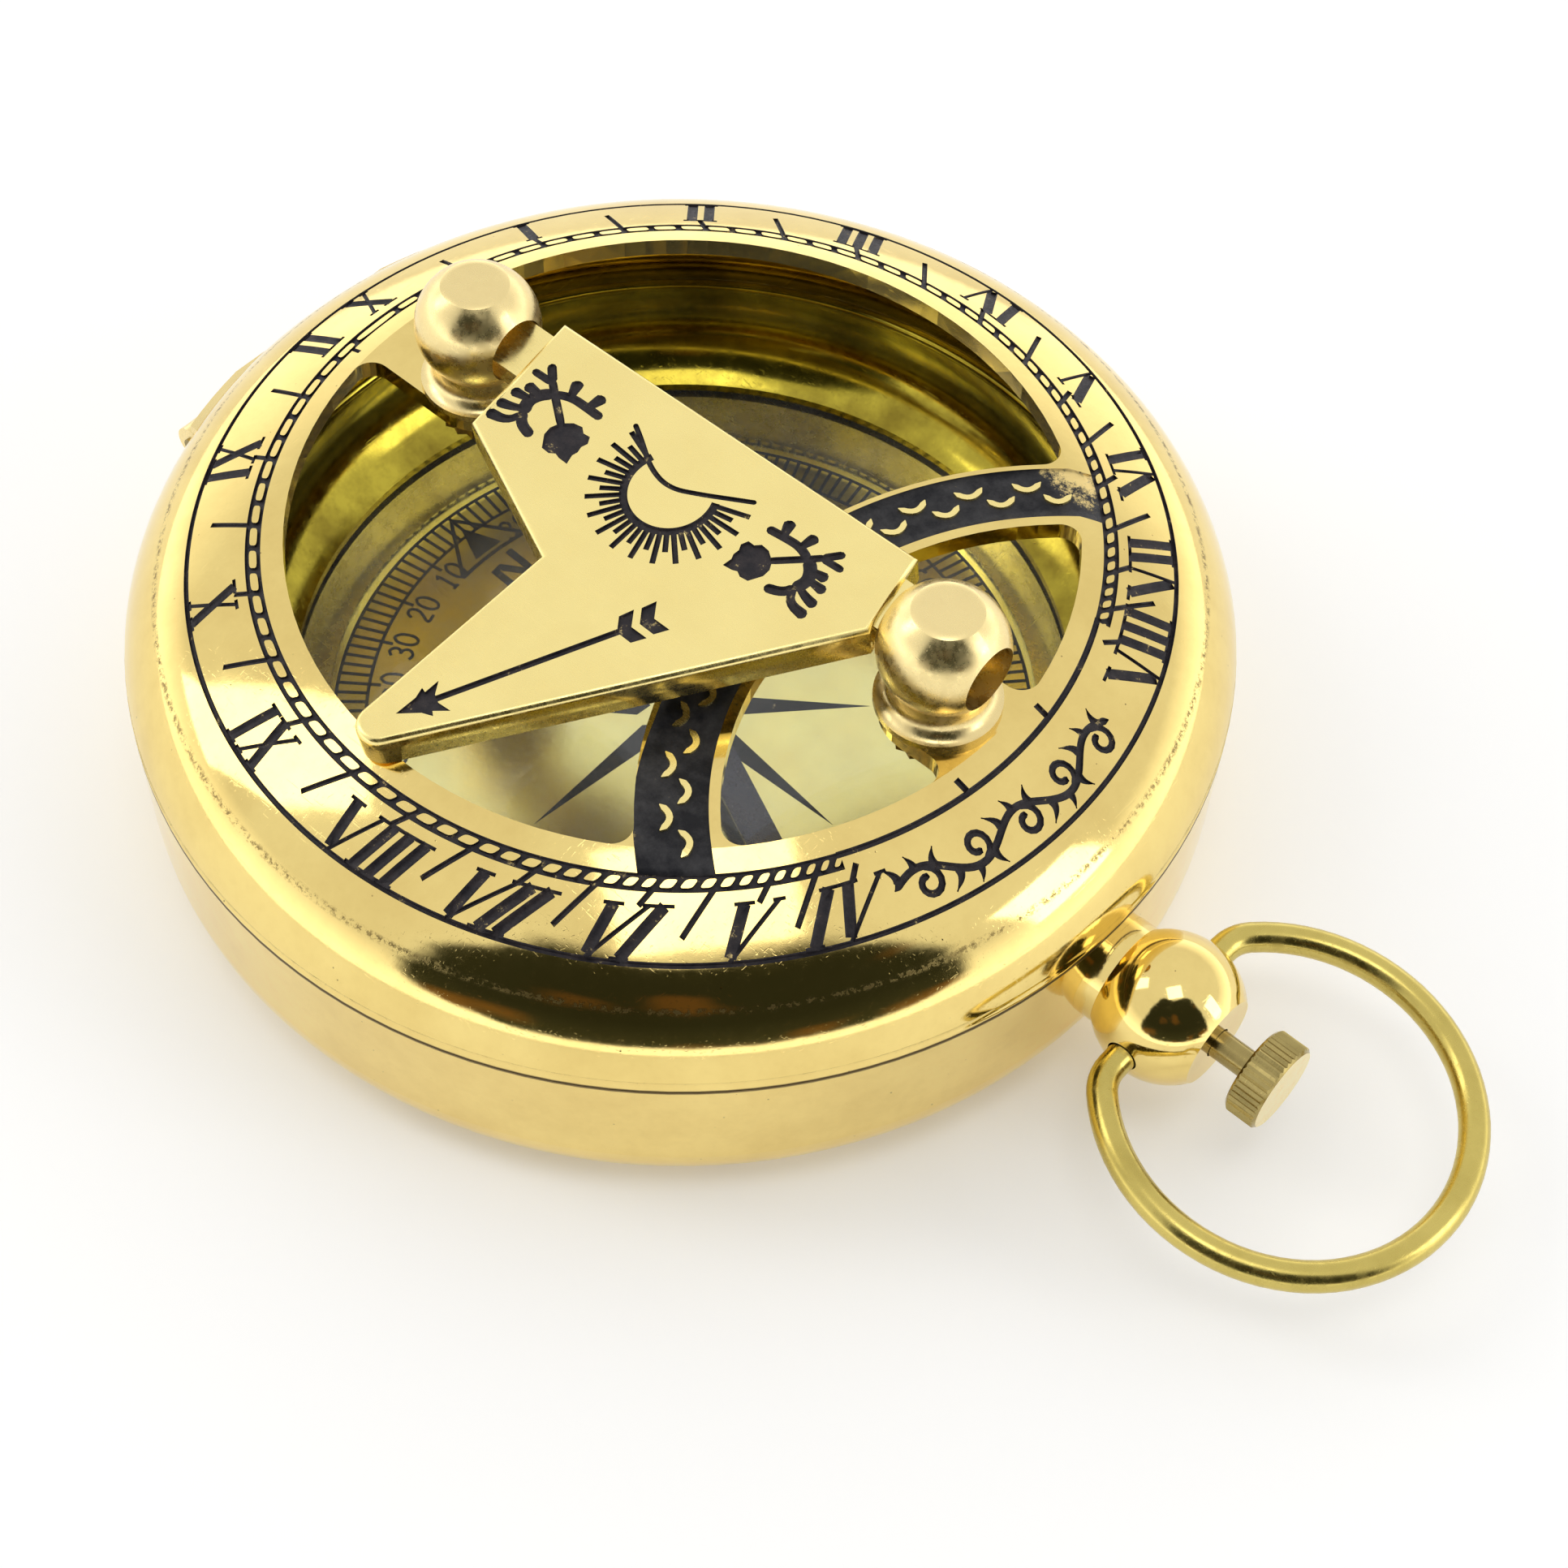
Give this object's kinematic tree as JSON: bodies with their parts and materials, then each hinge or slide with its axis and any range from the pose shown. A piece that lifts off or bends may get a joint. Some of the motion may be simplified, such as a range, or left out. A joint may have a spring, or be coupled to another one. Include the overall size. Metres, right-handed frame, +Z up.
{
  "type": "pocket sundial",
  "caption": "Round brass pocket sundial with a hinged windowed lid, a folding gnomon between ball posts, a glazed compass in the base, a push button and a bow.",
  "frame": {"origin": "centre of the flat bottom of the base", "axes": "+Z up out of the compass, +X from the centre towards the pendant and bow (the dial's south), hinge and XII towards -X, morning hours towards -Y"},
  "size_m": [0.068, 0.05, 0.0209],
  "materials": {
    "case_brass": "mirror polished, faint scuffs",
    "bezel_brass": "turned, aged olive tone",
    "card_print": "satin brass with black print",
    "crystal": "clear, flat",
    "post_brass": "satin, bead polished",
    "gnomon_brass": "brushed, engraved and black filled",
    "fastener_brass": "dark, unpolished",
    "bow_brass": "satin drawn wire",
    "button_brass": "knurled rim, matte face",
    "spring_steel": "bright spring steel",
    "blued_steel": "blued"
  },
  "bodies": {
    "base": {"base_shell": "case_brass", "compass_card": "card_print", "needle_pivot": "spring_steel", "dial_ring": "bezel_brass", "glass_crystal": "crystal", "inner_bezel": "bezel_brass", "hinge_base_leaf": "post_brass", "hinge_pin": "post_brass", "pendant_stud": "case_brass", "pendant_ball": "case_brass", "button_spring": "spring_steel", "latch_bracket": "fastener_brass", "latch_pin": "spring_steel"},
    "lid": {"lid_shell": "case_brass", "hinge_lid_leaf": "post_brass", "gnomon_post_south": "post_brass", "gnomon_post_north": "post_brass", "post_nuts": "fastener_brass", "lid_strike": "fastener_brass"},
    "gnomon": {"gnomon_plate": "gnomon_brass"},
    "bow": {"bow_ring": "bow_brass"},
    "button": {"button_head": "button_brass", "button_stem": "button_brass"},
    "latch": {"latch_leaf": "spring_steel"},
    "needle": {"compass_needle": "blued_steel", "needle_cap": "post_brass"}
  },
  "joints": [
    {"name": "lid_hinge", "type": "hinge", "parent": "base", "child": "lid", "pos_m": [-0.02365, 0, 0.00875], "axis": [0, -1, 0], "range_deg": [0, 95]},
    {"name": "gnomon_fold", "type": "hinge", "parent": "lid", "child": "gnomon", "pos_m": [0, 0, 0.0184], "axis": [-1, 0, 0], "range_deg": [0, 196.4]},
    {"name": "bow_swing", "type": "hinge", "parent": "base", "child": "bow", "pos_m": [0.0281, 0, 0.0055], "axis": [0, 1, 0], "range_deg": [-130, 128]},
    {"name": "button_press", "type": "slide", "parent": "base", "child": "button", "axis": [-1, 0, 0], "range_m": [0, 0.0006], "stiffness_N_per_m": 400, "springref_m": -0.0004, "deforming": ["button_spring"]},
    {"name": "latch_swing", "type": "hinge", "parent": "base", "child": "latch", "pos_m": [0.02278, 0, 0.002], "axis": [0, -1, 0], "range_deg": [0, 10.5]},
    {"name": "needle_spin", "type": "hinge", "parent": "base", "child": "needle", "pos_m": [0, 0, 0.0025], "axis": [0, 0, 1], "continuous": true}
  ],
  "couplings": [
    {"joint": "latch_swing", "follows": "button_press", "rad_per_m": 285.71}
  ]
}
